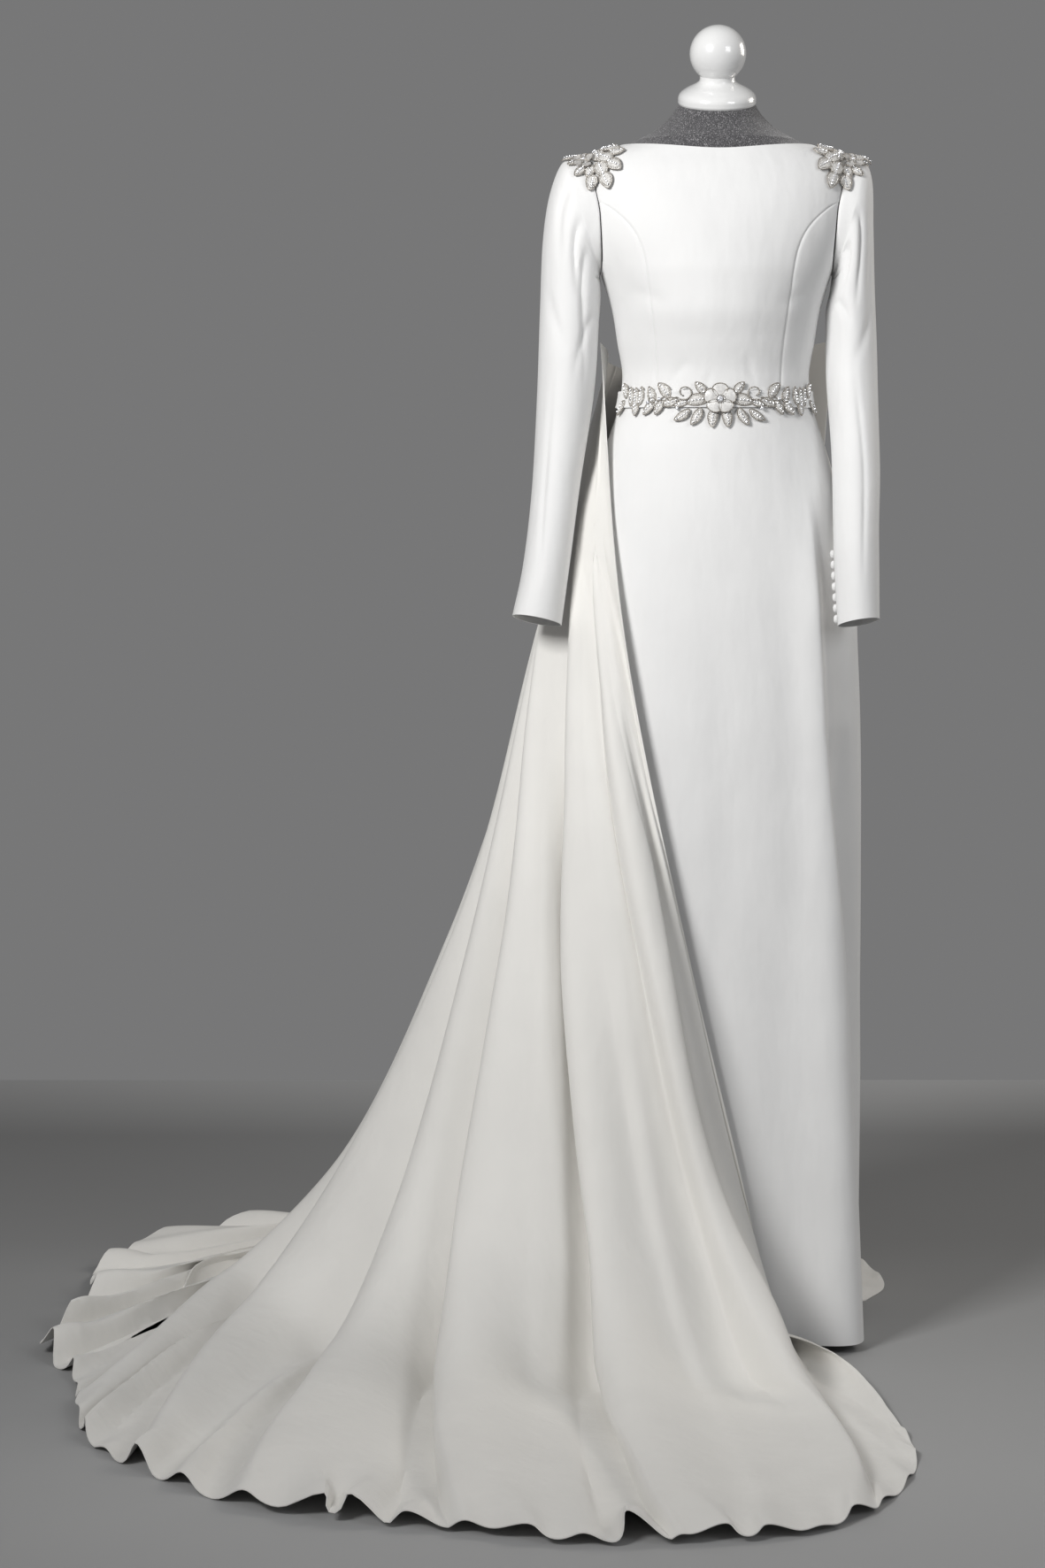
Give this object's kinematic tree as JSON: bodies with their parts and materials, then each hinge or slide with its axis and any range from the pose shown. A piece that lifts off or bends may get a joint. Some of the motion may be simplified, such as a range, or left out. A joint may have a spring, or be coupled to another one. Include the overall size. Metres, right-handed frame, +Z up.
{
  "type": "wedding dress on a dress form",
  "caption": "Long-sleeved wedding dress with a boat neck, narrow skirt, beaded belt and an overskirt swept into a train, worn by a limbless dress form on a stand.",
  "frame": {"origin": "on the floor, at the centre of the underside of the form's base", "axes": "+Z up, the dress faces -Y, +X to the right of someone who looks at its front"},
  "size_m": [1.0148, 1.4703, 1.5208],
  "materials": {
    "crepe": "matte ivory crepe with a soft sheen",
    "silver_beading": "silver beads and crystals sewn on net",
    "form_jersey": "dark grey heather jersey",
    "cap_gloss": "gloss white lacquer",
    "stand_metal": "satin black"
  },
  "bodies": {
    "root": {"belt": "silver_beading", "bodice_back_left": "crepe", "bodice_back_right": "crepe", "bodice_front": "crepe", "bodice_side_front_left": "crepe", "bodice_side_front_right": "crepe", "button_left_1": "crepe", "button_left_2": "crepe", "button_left_3": "crepe", "button_left_4": "crepe", "button_left_5": "crepe", "button_left_6": "crepe", "button_left_7": "crepe", "button_right_1": "crepe", "button_right_2": "crepe", "button_right_3": "crepe", "button_right_4": "crepe", "button_right_5": "crepe", "button_right_6": "crepe", "button_right_7": "crepe", "form_cap": "cap_gloss", "form_torso": "form_jersey", "shoulder_applique_left": "silver_beading", "shoulder_applique_right": "silver_beading", "skirt_back_left": "crepe", "skirt_back_right": "crepe", "skirt_front": "crepe", "sleeve_left": "crepe", "sleeve_right": "crepe", "stand_base": "stand_metal", "stand_pole": "stand_metal", "train_back": "crepe", "train_front": "crepe", "train_left": "crepe", "train_right": "crepe"}
  },
  "joints": []
}
